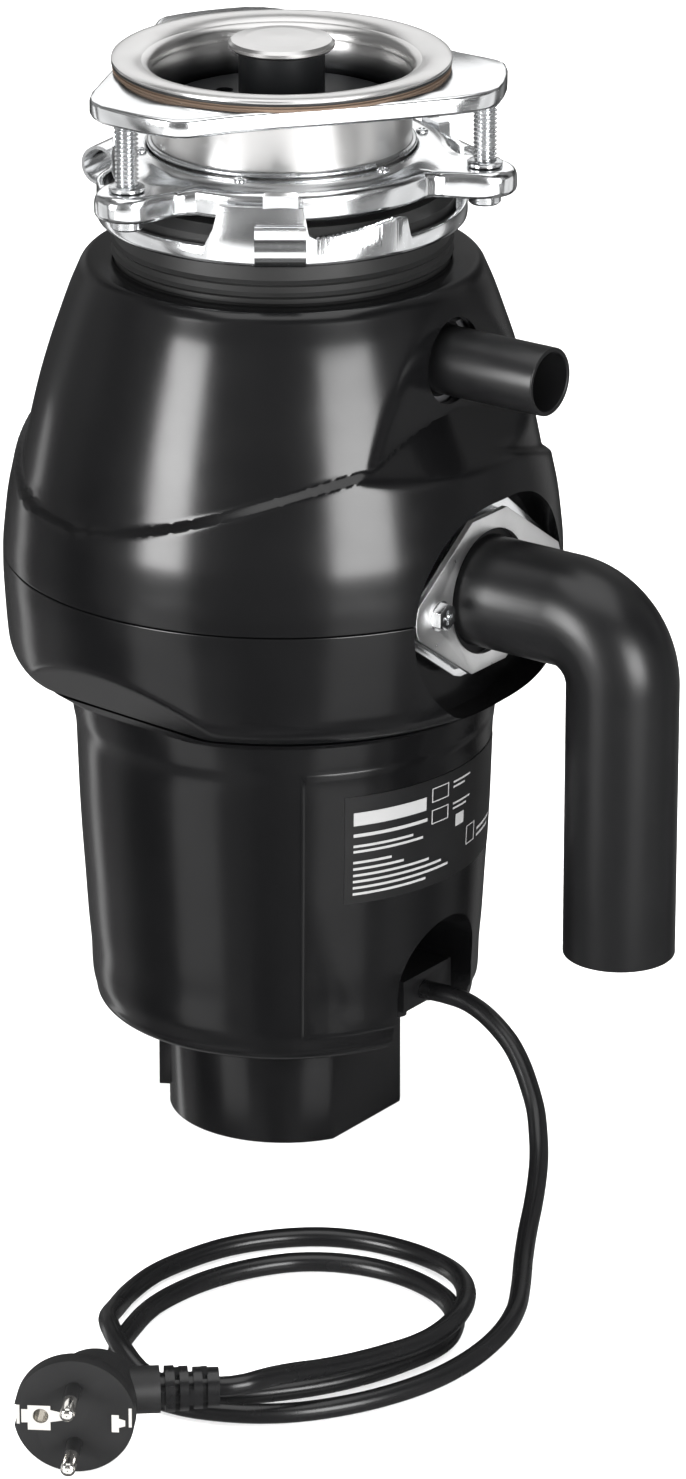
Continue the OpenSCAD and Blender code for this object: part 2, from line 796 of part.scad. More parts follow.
// boot ribs: start, end and radius
RIBS = [[1.6, 4.6, 7.4], [6.2, 9, 7.1], [10.6, 13.4, 6.7], [15, 18.8, 6.4]];

module plug_boot() {
    color("black") in_boot() {
        rod_x(5, 0, boot_len);
        for (b = RIBS) rod_x(b[2], b[0], b[1]);
    }
}

module plug_body() {
    neck_r = 7.6;
    color("black") in_plug() difference() {
        union() {
            rod_y(plug_r, 0, 0, 0, 6);
            rod_y(plug_r, 0, 0, 6, 14, 15);
            rod_y(13.8, 5, 0, 6, 21);
            rod_y(13.8, 5, 0, 21, 24, 11.5);
            translate(boot_start) rotate([0, 0, boot_slant]) rod_x(neck_r, -20, 0);
        }
        for (z = [-9.5, 9.5]) rod_y(pin_root_r + 0.02, 0, z, -1, 8);
        rod_y(3.2, -10.5, 0, -1, 10);
        translate([-plug_r - 1, -1, -3.5]) cube([3, 13, 7]);
        translate([plug_r - 2, -1, -3.5]) cube([3, 5.5, 7]);
    }
}

module plug_pins() {
    color("silver") in_plug() for (z = [-9.5, 9.5]) {
        rod_y(1.6, 0, z, -19, -18.2, 2.4);
        rod_y(2.4, 0, z, -18.2, 0);
        rod_y(pin_root_r, 0, z, 0, 8);
    }
}

module plug_earth_contacts() {
    color("silver") in_plug() {
        difference() {
            rod_y(3.2, -10.5, 0, 0.4, 10);
            rod_y(2.4, -10.5, 0, -1, 9);
        }
        translate([-plug_r + 1, 0.4, -3.4]) cube([1, 11.6, 6.8]);
        translate([plug_r - 2, 0.4, -3.4]) cube([1, 4.1, 6.8]);
    }
}

// ---- the part ----

stopper_knob();
stopper_post();
stopper_body();
stopper_seal();
sink_flange();
rubber_gasket();
fiber_gaskets();
backup_plate();
mounting_bolts();
mounting_ring();
snap_ring();
lock_ring();
rubber_mount();
splash_guard();
upper_shroud();
lower_shroud();
lower_housing();
foot_cover();
sound_jacket();
grind_chamber();
shredder_ring();
discharge_chamber();
inlet_tube();
outlet_gasket();
outlet_backplate();
outlet_flange();
outlet_screws();
discharge_elbow();
turntable();
turntable_nut();
impeller_a();
impeller_b();
impeller_pins();
motor_shaft();
rotor_core();
stator_core();
stator_windings();
motor_shell();
lower_end_bell();
upper_bearing();
lower_bearing();
shaft_seal();
housing_screws();
foot_screws();
start_switch();
terminal_block();
ground_screw();
overload_protector();
reset_button();
cord_clamp();
rating_label();
power_cord();
plug_boot();
plug_body();
plug_pins();
plug_earth_contacts();
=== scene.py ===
"""Looks of the kitchen garbage disposal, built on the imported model."""

import json
import math

import bmesh
import bpy
from mathutils import Matrix, Vector

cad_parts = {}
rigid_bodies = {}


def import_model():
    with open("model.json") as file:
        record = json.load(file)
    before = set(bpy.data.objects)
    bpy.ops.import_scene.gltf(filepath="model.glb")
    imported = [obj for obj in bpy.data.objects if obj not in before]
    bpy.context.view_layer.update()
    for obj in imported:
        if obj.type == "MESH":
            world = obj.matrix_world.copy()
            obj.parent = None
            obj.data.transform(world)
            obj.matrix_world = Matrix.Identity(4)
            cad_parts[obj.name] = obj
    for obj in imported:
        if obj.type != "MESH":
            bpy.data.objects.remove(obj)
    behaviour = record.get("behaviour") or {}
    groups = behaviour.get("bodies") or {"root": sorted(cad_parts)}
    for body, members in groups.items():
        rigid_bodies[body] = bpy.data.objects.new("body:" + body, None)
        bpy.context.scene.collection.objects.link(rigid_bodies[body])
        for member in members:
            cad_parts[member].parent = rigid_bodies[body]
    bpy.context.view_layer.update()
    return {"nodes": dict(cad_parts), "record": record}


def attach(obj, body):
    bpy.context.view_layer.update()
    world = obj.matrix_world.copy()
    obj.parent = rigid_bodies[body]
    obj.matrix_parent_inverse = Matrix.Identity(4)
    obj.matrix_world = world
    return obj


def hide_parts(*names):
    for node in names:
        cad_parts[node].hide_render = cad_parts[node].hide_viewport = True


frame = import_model()
nodes = frame["nodes"]
MM = 0.001

CAMERA_PLACE = (1.3477, -1.8201, 1.0080)
CAMERA_HEADING = 126.0
CAMERA_PITCH = 21.084
CAMERA_LENS = 170.4


def add_camera():
    """Camera about 2.3 m away, 53 degrees round towards the outlet side and 21 degrees above."""
    data = bpy.data.cameras.new("camera")
    data.sensor_width = 36.0
    data.lens = CAMERA_LENS
    data.clip_start = 0.05
    data.clip_end = 100.0
    obj = bpy.data.objects.new("camera", data)
    bpy.context.scene.collection.objects.link(obj)
    pitch = math.radians(CAMERA_PITCH)
    heading = math.radians(CAMERA_HEADING)
    level = math.cos(pitch)
    look = Vector((math.cos(heading) * level, math.sin(heading) * level, -math.sin(pitch)))
    obj.location = CAMERA_PLACE
    obj.rotation_euler = look.to_track_quat("-Z", "Y").to_euler()
    bpy.context.scene.camera = obj


# ---- the cord, which comes first after the camera ----

CORD_D = 6.6 * MM
CORD_ROUTE = [
    (46, 0, 56), (54, 0, 56), (62, 0, 56), (70, 0, 56.3), (78, -0.5, 56), (86, -2, 54.5), (94, -4, 51.5),
    (101, -6, 47.5), (107, -8.5, 42.5), (112.5, -11.5, 36.5), (117.5, -15, 30.5), (122, -20, 25),
    (126.5, -26, 20), (131, -33.5, 15.5), (136, -43, 11), (142, -55, 7), (150, -69, 4.3), (160, -85, 3.4),
    (169, -101, 3.4), (175, -118, 3.4), (178, -138, 3.4), (177, -158, 3.4), (172, -176, 3.4),
    (164, -192, 3.4), (153, -206, 3.4), (139, -216, 3.4), (122, -222, 3.4), (106, -221, 3.4),
    (91, -213, 3.4), (81, -201, 3.4), (75, -186, 3.4), (71, -170, 3.4), (71, -155, 3.4), (74, -140, 3.4),
    (80, -126, 3.4), (89, -114, 3.4), (101, -106, 3.4), (116, -102, 3.4), (132, -103, 3.4),
    (147, -109, 3.4), (158, -120, 3.4), (164, -136, 3.4), (161, -157, 3.4), (154, -176, 3.4),
    (144, -192, 3.4), (131, -206, 3.4), (116, -214, 3.7), (102, -214.5, 5.8), (90, -210, 9.3),
    (79, -202, 10.3), (70, -192, 8), (63, -179, 4.6), (58, -165, 3.4), (56, -149, 3.4), (58, -134, 3.4),
    (63, -118, 3.4), (72, -104, 3.4), (84, -93, 3.4), (98, -87, 3.4), (113, -85, 3.4), (127.5, -87, 3.8),
    (139.5, -93.2, 5.2), (149.6, -102.6, 7.2), (158, -114, 9.2), (164, -126.5, 10.4),
    (166.8, -140, 10.7), (166.6, -153, 11), (163.6, -167, 11.8), (160.2, -180.5, 13.1),
    (157.2, -193, 15.1), (154.8, -204, 17.5), (153.3, -212, 19.1), (152.2, -218.5, 20.1),
    (150.6, -224, 20.4), (147.7, -228.2, 20.3), (144.6, -230.9, 20.2),
]


def add_cord():
    """The mains cord, as one round curve along its route."""
    curve = bpy.data.curves.new("mains_cord", "CURVE")
    curve.dimensions = "3D"
    curve.bevel_depth = CORD_D / 2
    curve.bevel_resolution = 6
    curve.resolution_u = 6
    curve.use_fill_caps = True
    spline = curve.splines.new("BEZIER")
    spline.bezier_points.add(len(CORD_ROUTE) - 1)
    points = [Vector(p) * MM for p in CORD_ROUTE]
    for i, p in enumerate(points):
        here = spline.bezier_points[i]
        before = points[max(i - 1, 0)]
        after = points[min(i + 1, len(points) - 1)]
        along = (after - before).normalized()
        here.co = p
        here.handle_left = p - along * (p - before).length / 3
        here.handle_right = p + along * (after - p).length / 3
    obj = bpy.data.objects.new("mains_cord", curve)
    bpy.context.scene.collection.objects.link(obj)
    return obj


# ---- materials ----

def tree(name):
    """A new material with its node tree and its main shader."""
    mat = bpy.data.materials.new(name)
    mat.use_nodes = True
    nt = mat.node_tree
    shader = nt.nodes["Principled BSDF"]
    return mat, nt, shader


def noise(nt, scale, detail=4.0, stretch=(1, 1, 1)):
    """Noise on object coordinates, in metres, stretched along chosen axes."""
    where = nt.nodes.new("ShaderNodeTexCoord")
    mapping = nt.nodes.new("ShaderNodeMapping")
    mapping.inputs["Scale"].default_value = stretch
    tex = nt.nodes.new("ShaderNodeTexNoise")
    tex.inputs["Scale"].default_value = scale
    tex.inputs["Detail"].default_value = detail
    nt.links.new(where.outputs["Object"], mapping.inputs["Vector"])
    nt.links.new(mapping.outputs["Vector"], tex.inputs["Vector"])
    return tex.outputs["Fac"]


def ramp(nt, fac, low, high):
    """Maps a 0 to 1 pattern onto low to high."""
    node = nt.nodes.new("ShaderNodeMapRange")
    node.inputs["From Min"].default_value = 0.25
    node.inputs["From Max"].default_value = 0.75
    node.inputs["To Min"].default_value = low
    node.inputs["To Max"].default_value = high
    nt.links.new(fac, node.inputs["Value"])
    return node.outputs["Result"]


def blend_colours(nt, fac, a, b):
    """A colour that goes from a to b as the pattern goes from 0 to 1."""
    node = nt.nodes.new("ShaderNodeMix")
    node.data_type = "RGBA"
    node.inputs["A"].default_value = (*a, 1)
    node.inputs["B"].default_value = (*b, 1)
    nt.links.new(fac, node.inputs["Factor"])
    return node.outputs["Result"]


def bump(nt, height, distance, strength=1.0):
    """Small surface relief of that height, in metres, from a pattern."""
    node = nt.nodes.new("ShaderNodeBump")
    node.inputs["Distance"].default_value = distance
    node.inputs["Strength"].default_value = strength
    nt.links.new(height, node.inputs["Height"])
    return node.outputs["Normal"]


def plastic(name, dark, light, rough, grain_scale, grain, specular=0.5):
    """Moulded plastic: a faint mottled colour, uneven gloss and a fine surface texture."""
    mat, nt, shader = tree(name)
    blotch = noise(nt, 22.0)
    nt.links.new(blend_colours(nt, blotch, dark, light), shader.inputs["Base Color"])
    nt.links.new(ramp(nt, noise(nt, 60.0), rough * 0.9, rough * 1.12), shader.inputs["Roughness"])
    nt.links.new(bump(nt, noise(nt, grain_scale, 2.0), grain), shader.inputs["Normal"])
    shader.inputs["Specular IOR Level"].default_value = specular
    return mat


def metal(name, dark, light, rough, stretch=(1, 1, 1), grain_scale=900.0, grain=0.00001, uneven=0.35):
    """Metal: a slightly uneven tone and polish, with a fine directional grain."""
    mat, nt, shader = tree(name)
    shader.inputs["Metallic"].default_value = 1.0
    nt.links.new(blend_colours(nt, noise(nt, 35.0), dark, light), shader.inputs["Base Color"])
    polish = ramp(nt, noise(nt, 120.0, 6.0, stretch), rough * (1 - uneven), rough * (1 + uneven))
    nt.links.new(polish, shader.inputs["Roughness"])
    nt.links.new(bump(nt, noise(nt, grain_scale, 2.0, stretch), grain), shader.inputs["Normal"])
    return mat


def paint_throat_shade(mat, radius, depth):
    """Darkens a flange's inner wall inside the given radius: painted shade and painted reflection of the
    dark throat.
    """
    nt = mat.node_tree
    shader = nt.nodes["Principled BSDF"]
    steel = shader.inputs["Base Color"].links[0].from_socket
    where = nt.nodes.new("ShaderNodeTexCoord")
    flat = nt.nodes.new("ShaderNodeVectorMath")
    flat.operation = "MULTIPLY"
    flat.inputs[1].default_value = (1, 1, 0)
    reach = nt.nodes.new("ShaderNodeVectorMath")
    reach.operation = "LENGTH"
    fade = nt.nodes.new("ShaderNodeMapRange")
    fade.inputs["From Min"].default_value = radius
    fade.inputs["From Max"].default_value = radius + depth
    mix = nt.nodes.new("ShaderNodeMix")
    mix.data_type = "RGBA"
    # the colour of the painted shade on the inner wall
    mix.inputs["A"].default_value = (0.05, 0.052, 0.055, 1)
    nt.links.new(where.outputs["Object"], flat.inputs[0])
    nt.links.new(flat.outputs["Vector"], reach.inputs[0])
    nt.links.new(reach.outputs["Value"], fade.inputs["Value"])
    nt.links.new(fade.outputs["Result"], mix.inputs["Factor"])
    nt.links.new(steel, mix.inputs["B"])
    nt.links.new(mix.outputs["Result"], shader.inputs["Base Color"])


# darkest colour, lightest colour, roughness, grain per metre, grain depth in metres
PLASTICS = {
    "shell_black": ((0.003, 0.003, 0.0033), (0.006, 0.006, 0.0064), 0.2, 700, 0.000004),
    "pipe_black": ((0.005, 0.005, 0.0055), (0.010, 0.010, 0.0105), 0.33, 1200, 0.00001),
    "label_dark": ((0.006, 0.006, 0.0065), (0.01, 0.01, 0.0105), 0.4, 1500, 0.000005),
    "stopper_plastic": ((0.010, 0.011, 0.012), (0.02, 0.021, 0.023), 0.3, 900, 0.00001),
    "black_rubber": ((0.009, 0.009, 0.009), (0.02, 0.02, 0.02), 0.5, 1500, 0.00002),
    "cord_black": ((0.006, 0.006, 0.0065), (0.011, 0.011, 0.0115), 0.26, 1500, 0.00001),
    "plug_black": ((0.011, 0.011, 0.0115), (0.018, 0.018, 0.0185), 0.5, 2500, 0.00003),
    "switch_grey": ((0.06, 0.06, 0.065), (0.09, 0.09, 0.095), 0.45, 1500, 0.00001),
    "terminal_ivory": ((0.62, 0.57, 0.45), (0.74, 0.69, 0.56), 0.4, 1500, 0.00001),
    "reset_red": ((0.5, 0.02, 0.02), (0.6, 0.03, 0.03), 0.3, 1500, 0.00001),
    "foam": ((0.05, 0.05, 0.055), (0.11, 0.11, 0.115), 0.9, 600, 0.0003),
    "fibre": ((0.07, 0.045, 0.03), (0.30, 0.21, 0.15), 0.8, 1800, 0.00008),
    "label_print": ((0.36, 0.36, 0.36), (0.42, 0.42, 0.42), 0.5, 1500, 0.000005),
}

# darkest colour, lightest colour, roughness, then where they differ from plain metal: the grain's
# stretch along X, Y and Z, grain per metre, grain depth in metres, unevenness of the polish
METALS = {
    "bright_chrome": ((0.76, 0.77, 0.78), (0.86, 0.87, 0.88), 0.17, (1, 1, 1), 250, 0.00001, 0.15),
    "stainless": ((0.56, 0.555, 0.55), (0.66, 0.655, 0.65), 0.3, (1, 1, 4), 2200, 0.000002, 0.08),
    "flange_spun": ((0.56, 0.555, 0.55), (0.66, 0.655, 0.65), 0.3, (1, 1, 4), 2200, 0.000002, 0.08),
    "zinc_steel": ((0.5, 0.51, 0.52), (0.7, 0.71, 0.72), 0.25),
    "cast_aluminium": ((0.42, 0.43, 0.44), (0.6, 0.61, 0.62), 0.5, (1, 1, 1), 500, 0.0001),
    "grind_steel": ((0.45, 0.45, 0.45), (0.6, 0.6, 0.6), 0.3),
    "motor_steel": ((0.12, 0.13, 0.14), (0.26, 0.27, 0.28), 0.5, (1, 1, 25)),
    "copper": ((0.5, 0.2, 0.09), (0.7, 0.34, 0.18), 0.35, (1, 1, 1), 900, 0.0001),
    "bronze": ((0.42, 0.27, 0.12), (0.56, 0.38, 0.18), 0.45),
    "flange_steel": ((0.56, 0.56, 0.56), (0.82, 0.82, 0.82), 0.36, (1, 1, 1), 2600, 0.00006),
    "nickel": ((0.68, 0.66, 0.62), (0.82, 0.80, 0.77), 0.14),
    "ground_green": ((0.03, 0.2, 0.06), (0.06, 0.3, 0.1), 0.4),
}
# radius and fade width of the painted shade inside the sink flange's throat
THROAT_R = 0.0424
THROAT_FADE = 0.0012


def build_materials():
    """Every slot's material, and a few more for single pieces."""
    made = {name: plastic(name, *look) for name, look in PLASTICS.items()}
    made.update((name, metal(name, *look)) for name, look in METALS.items())
    # paints shade and the dark throat's reflection on the sink flange's inner wall
    paint_throat_shade(made["flange_spun"], THROAT_R, THROAT_FADE)
    return made


def dress_cad(materials):
    """Gives each carried-over CAD node the material of its slot."""
    for part in frame["record"]["subparts"]:
        obj = nodes[part["node"]]
        obj.data.materials.clear()
        obj.data.materials.append(materials[part["material_slot"]])


# ---- mesh helpers ----

def link(obj):
    """Puts a new object in the scene."""
    bpy.context.scene.collection.objects.link(obj)
    return obj


def smooth(obj, angle=32.0):
    """Smooth shading that keeps edges sharper than the angle crisp."""
    bm = bmesh.new()
    bm.from_mesh(obj.data)
    limit = math.radians(angle)
    for face in bm.faces:
        face.smooth = True
    for edge in bm.edges:
        edge.smooth = len(edge.link_faces) == 2 and edge.calc_face_angle(0.0) < limit
    bm.to_mesh(obj.data)
    bm.free()
    return obj


def mesh_object(name, points, faces):
    """A mesh from points in millimetres."""
    mesh = bpy.data.meshes.new(name)
    mesh.from_pydata([Vector(p) * MM for p in points], [], faces)
    mesh.validate()
    return link(bpy.data.objects.new(name, mesh))


def lathe(name, radius, heights, columns, hole=None):
    """A closed solid of revolution whose radius may change with the angle: radius(angle, height).

    With hole, a second radius function, the solid has an inner wall instead of reaching the axis."""
    points, faces = [], []
    angles = [2 * math.pi * i / columns for i in range(columns)]

    def ring(func, z):
        first = len(points)
        for a in angles:
            r = func(a, z)
            points.append((r * math.cos(a), r * math.sin(a), z))
        return first

    def join(lower, upper):
        for i in range(columns):
            j = (i + 1) % columns
            faces.append((lower + i, lower + j, upper + j, upper + i))

    rings = [ring(radius, z) for z in heights]
    for lower, upper in zip(rings, rings[1:]):
        join(lower, upper)
    if hole:
        inner = [ring(hole, z) for z in reversed(heights)]
        for lower, upper in zip(inner, inner[1:]):
            join(lower, upper)
        join(rings[-1], inner[0])
        join(inner[-1], rings[0])
    else:
        faces.append(tuple(rings[0] + i for i in reversed(range(columns))))
        faces.append(tuple(rings[-1] + i for i in range(columns)))
    return mesh_object(name, points, faces)


def turned(name, outline, columns=96):
    """A ring turned about Z from a closed outline of (radius, height) points."""
    points, faces = [], []
    n = len(outline)
    for i in range(columns):
        a = 2 * math.pi * i / columns
        points += [(r * math.cos(a), r * math.sin(a), z) for r, z in outline]
    for i in range(columns):
        j = (i + 1) % columns
        for k in range(n):
            m = (k + 1) % n
            faces.append((i * n + k, j * n + k, j * n + m, i * n + m))
    return mesh_object(name, points, faces)


def swept_ring(name, outline_at, columns):
    """A ring round Z whose closed (radius, height) outline may change with the angle."""
    rows = [outline_at(2 * math.pi * i / columns) for i in range(columns)]
    points, faces = [], []
    n = len(rows[0])
    for i, row in enumerate(rows):
        a = 2 * math.pi * i / columns
        points += [(r * math.cos(a), r * math.sin(a), z) for r, z in row]
    for i in range(columns):
        j = (i + 1) % columns
        for k in range(n):
            m = (k + 1) % n
            faces.append((i * n + k, j * n + k, j * n + m, i * n + m))
    return mesh_object(name, points, faces)


def extruded_x(name, outline, x0, x1):
    """A flat outline of (y, z) points pushed along X."""
    n = len(outline)
    points = [(x0, y, z) for y, z in outline] + [(x1, y, z) for y, z in outline]
    faces = [tuple(reversed(range(n))), tuple(range(n, 2 * n))]
    faces += [(i, (i + 1) % n, n + (i + 1) % n, n + i) for i in range(n)]
    return mesh_object(name, points, faces)


def rod_x(name, radius, x0, x1, y, z, columns=64):
    """A straight rod along X."""
    angles = [2 * math.pi * i / columns for i in range(columns)]
    circle = [(y + radius * math.cos(a), z + radius * math.sin(a)) for a in angles]
    return extruded_x(name, circle, x0, x1)


def carve(obj, *cutters):
    """Cuts the cutters out of obj and removes them."""
    for cutter in cutters:
        apply_boolean(obj, cutter, "DIFFERENCE")
    return obj


def apply_boolean(obj, other, operation):
    """Cuts, adds or meets another closed mesh, and removes that mesh."""
    fix_normals(obj)
    fix_normals(other)
    step = obj.modifiers.new("boolean", "BOOLEAN")
    step.operation = operation
    step.solver = "EXACT"
    step.object = other
    apply_modifiers(obj)
    bpy.data.objects.remove(other)


def fix_normals(obj):
    """Turns every face outwards."""
    bm = bmesh.new()
    bm.from_mesh(obj.data)
    bmesh.ops.recalc_face_normals(bm, faces=bm.faces)
    bm.to_mesh(obj.data)
    bm.free()


def apply_modifiers(obj):
    """Turns an object's modifiers into plain mesh."""
    bpy.context.view_layer.update()
    graph = bpy.context.evaluated_depsgraph_get()
    mesh = bpy.data.meshes.new_from_object(obj.evaluated_get(graph))
    obj.modifiers.clear()
    old = obj.data
    obj.data = mesh
    bpy.data.meshes.remove(old)


def place(obj, body, material, slot, *replaced):
    """Finishes a piece: its material, its body and the CAD nodes it stands for."""
    obj.data.materials.clear()
    obj.data.materials.append(materials[material])
    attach(obj, body)
    if replaced:
        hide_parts(*replaced)
    return obj


# ---- shapes shared with the CAD ----

def curve_through(table):
    """A smooth function through (height, radius) points."""
    zs = [p[0] for p in table]
    rs = [p[1] for p in table]
    n = len(table)
    slopes = []
    for i in range(n):
        lo, hi = max(i - 1, 0), min(i + 1, n - 1)
        slopes.append((rs[hi] - rs[lo]) / (zs[hi] - zs[lo]))

    def value(z):
        z = min(max(z, zs[0]), zs[-1])
        i = 0
        while i < n - 2 and z > zs[i + 1]:
            i += 1
        h = zs[i + 1] - zs[i]
        t = (z - zs[i]) / h
        a = 2 * t ** 3 - 3 * t ** 2 + 1
        b = t ** 3 - 2 * t ** 2 + t
        c = -2 * t ** 3 + 3 * t ** 2
        d = t ** 3 - t ** 2
        return a * rs[i] + b * h * slopes[i] + c * rs[i + 1] + d * h * slopes[i + 1]

    return value


def smooth_min(a, b, reach):
    """The smaller of two lengths, rounded where they cross."""
    h = max(reach - abs(a - b), 0.0) / reach
    return min(a, b) - h * h * reach / 4


def ease(t):
    """Goes smoothly from 0 to 1."""
    t = min(max(t, 0.0), 1.0)
    return t * t * (3 - 2 * t)


def spaced(low, high, gap):
    """Even steps from low to high, about a gap apart."""
    count = max(int(round((high - low) / gap)), 1)
    return [low + (high - low) * i / count for i in range(count + 1)]


def angle_from(a, centre_deg):
    """Angle a, in radians, measured from a centre in degrees, from -pi to pi."""
    d = a - math.radians(centre_deg)
    return math.atan2(math.sin(d), math.cos(d))


SEAM_LOW = 207.35
SEAM_HIGH = 207.65
SEAM_EDGE_R = 0.4
SHROUD_TOP = 311.0
SHOULDER_Z = 307.0
SHOULDER_R = 69.1
SKIRT = curve_through([(SEAM_HIGH, 96.1), (212, 95.9), (218, 95.3), (228, 94.1), (236, 92.5), (244, 90.8),
                       (252, 89.1), (260, 87.3), (268, 85.3)])
DOME = curve_through([(SEAM_HIGH, 93.6), (218, 92.8), (228, 91.4), (236, 89.9), (240, 88.9), (249, 87.1),
                      (259, 84.9), (269, 82.4), (280, 79.1), (290, 75.7), (300, 72.1),
                      (SHOULDER_Z, SHOULDER_R)])
BOWL = curve_through([(161.5, 79), (164.3, 83.5), (167.2, 88.5), (170.8, 92.3), (175, 94.2), (181, 95),
                      (190, 95.6), (200, 96.1), (SEAM_LOW, 96.1)])
HOUSING = curve_through([(46, 66), (52, 67.2), (62, 67.6), (73, 68.5), (88, 69.4), (104, 70.4), (119, 71.1),
                         (135, 71.6), (145, 72), (151, 73), (158, 73.5), (163, 73.5)])
OUTLET_Z = 208.0
INLET_Z = 286.3
NECK_HOLE_R = 26.0
RECESS_X = 76.0
CUP_X = 73.5
BEYOND_X = 130.0
ARCH_R = 22.0
ARCH_CENTRE_Z = 63.4


def rounded_box_end(z, low, high, radius):
    """How far a wall draws in near its lower and upper ends, rounded to that radius."""
    gap = min(z - low, high - z)
    if gap >= radius:
        return 0.0
    return radius - math.sqrt(max(radius ** 2 - (radius - gap) ** 2, 0.0))


def pocket_radius(a, z):
    """Distance from the body's axis to the pocket round the dishwasher inlet."""
    face_x, axis_z, edge_r, slope = 71.0, 142.0, 126.6, 0.832
    c = math.cos(a)
    if c < 0.3:
        return 1000.0
    low = face_x / c

    def outside(r):
        x, y = r * c, r * math.sin(a)
        return math.hypot(y, z - axis_z) - (edge_r - slope * (x - face_x))

    if outside(low) > 0:
        return low
    if outside(110.0) < 0:
        return 1000.0
    high = 110.0
    for _ in range(24):
        middle = (low + high) / 2
        if outside(middle) > 0:
            high = middle
        else:
            low = middle
    return high


def upper_radius(a, z):
    """The dome, its swept step, its rounded top edge and the inlet pocket."""
    if z > SHOULDER_Z:
        edge = (z - SHOULDER_Z) / (SHROUD_TOP - SHOULDER_Z)
        rounding = 1 - math.sqrt(max(0.0, 1 - edge ** 2))
        dome = SHOULDER_R - 0.38 * (z - SHOULDER_Z) - 2.6 * rounding
    else:
        dome = DOME(z)
    u = 91 * math.cos(a + math.radians(21))
    line = 231.5 + 0.003357 * u * u
    below = 1 - ease((z - line) / 2.9)
    r = dome + (SKIRT(z) - dome) * below if below > 0 else dome
    r -= rounded_box_end(z, SEAM_HIGH, 400, SEAM_EDGE_R)
    if z > 240:
        r = smooth_min(r, pocket_radius(a, z), 2.2)
    return r


def bowl_radius(a, z):
    """The lower shroud with its two flat scallops."""
    r = BOWL(z) - rounded_box_end(z, 0, SEAM_LOW, SEAM_EDGE_R)
    for centre in (-95, 95):
        d = angle_from(a, centre)
        if abs(d) < 1.2:
            r = smooth_min(r, (95 + (z - 185.4) / 1.2) / math.cos(d), 1.4)
    return r


def housing_radius(a, z):
    """The lower housing: a rounded bottom edge and a panel raised 0.5 mm round its front."""
    r = HOUSING(max(z, 46.0))
    if z < 46:
        r -= 5.0 * (1 - math.sqrt(max(0.0, 1 - ((46 - z) / 5.0) ** 2)))
    side = abs(angle_from(a, 0)) - math.radians(48.5)
    if 50 < z < 150:
        r += 0.6 * ease(0.5 - side * 70 / 0.9) * ease((z - 50) / 1.5) * ease((150 - z) / 1.5)
    return r


def stadium(grow, z=203.5, half=5.0, radius=38.0, count=48):
    """Outline of the outlet's recess, grown all round."""
    points = []
    for i in range(count):
        a = math.pi * i / (count - 1) - math.pi / 2
        points.append((half + (radius + grow) * math.cos(a), z + (radius + grow) * math.sin(a)))
    for i in range(count):
        a = math.pi * i / (count - 1) + math.pi / 2
        points.append((-half + (radius + grow) * math.cos(a), z + (radius + grow) * math.sin(a)))
    return points


def arch_outline(grow, count=40):
    """Outline of the cord's arch, grown all round."""
    reach = ARCH_R + grow
    turns = [math.pi * i / (count - 1) for i in range(count)]
    top = [(reach * math.cos(t), ARCH_CENTRE_Z + reach * math.sin(t)) for t in turns]
    return top + [(-reach, 30.0), (reach, 30.0)]


# ---- shell skins ----

def add_upper_shroud():
    """The dome, hollow, with its outlet recess, its inlet hole and its open top."""
    wall = 3.0
    heights = spaced(SEAM_HIGH, 209.2, 0.2) + spaced(210.2, 306.5, 1.0) + spaced(SHOULDER_Z, SHROUD_TOP, 0.4)
    outer = lathe("upper_shroud_skin", upper_radius, heights, 400)

    def inner_wall(a, z):
        return upper_radius(a, max(min(z, 306), 212)) - wall

    inside = lathe("inside", inner_wall, spaced(200, 308, 4.0), 200)
    carve(inside, extruded_x("cup", stadium(2.5), CUP_X, BEYOND_X))
    carve(outer, inside, extruded_x("recess", stadium(0), RECESS_X, BEYOND_X),
          rod_x("neck", NECK_HOLE_R, 60, 90, 0, OUTLET_Z), rod_x("inlet_hole", 14.8, 55, 90, 0, INLET_Z),
          lathe("throat", lambda a, z: 57.5, [300, 320], 200))
    smooth(outer, 30)
    place(outer, "disposer", "shell_black", "shell_black", "upper_shroud")


def add_lower_shroud():
    """The bowl, hollow, with its outlet recess and the hole that the lower housing fills."""
    wall = 3.0
    heights = spaced(161.5, 176, 0.6) + spaced(177, 206, 1.0) + spaced(206.4, SEAM_LOW, 0.19)
    outer = lathe("lower_shroud_skin", bowl_radius, heights, 400)
    inside = lathe("inside", lambda a, z: bowl_radius(a, max(z, 170)) - wall, spaced(165, 215, 4.0), 200)
    carve(inside, extruded_x("cup", stadium(2.5), CUP_X, BEYOND_X))
    carve(outer, inside, lathe("bottom", lambda a, z: 74.2, [150, 168], 200),
          extruded_x("recess", stadium(0), RECESS_X, BEYOND_X),
          rod_x("neck", NECK_HOLE_R, 60, 90, 0, OUTLET_Z))
    smooth(outer, 30)
    place(outer, "disposer", "shell_black", "shell_black", "lower_shroud")


def add_lower_housing():
    """The motor's housing, hollow, with the cord's arch and the foot's hole."""
    wall = 2.8
    heights = spaced(41, 46, 0.4) + spaced(47, 53, 0.5) + spaced(55, 149, 2.0) + spaced(149.5, 163, 0.75)
    outer = lathe("lower_housing_skin", housing_radius, heights, 480)
    inside = lathe("inside", lambda a, z: housing_radius(a, min(z, 160)) - wall, spaced(44, 170, 4.0), 160)
    carve(inside, extruded_x("liner", arch_outline(2.0), 33.5, 90))
    carve(outer, inside, extruded_x("arch", arch_outline(0.0), 35.5, 90),
          lathe("foot_hole", lambda a, z: 40.85, [30, 44.5], 96))
    smooth(outer, 30)
    place(outer, "disposer", "shell_black", "shell_black", "lower_housing")


# ---- metal and rubber pieces ----

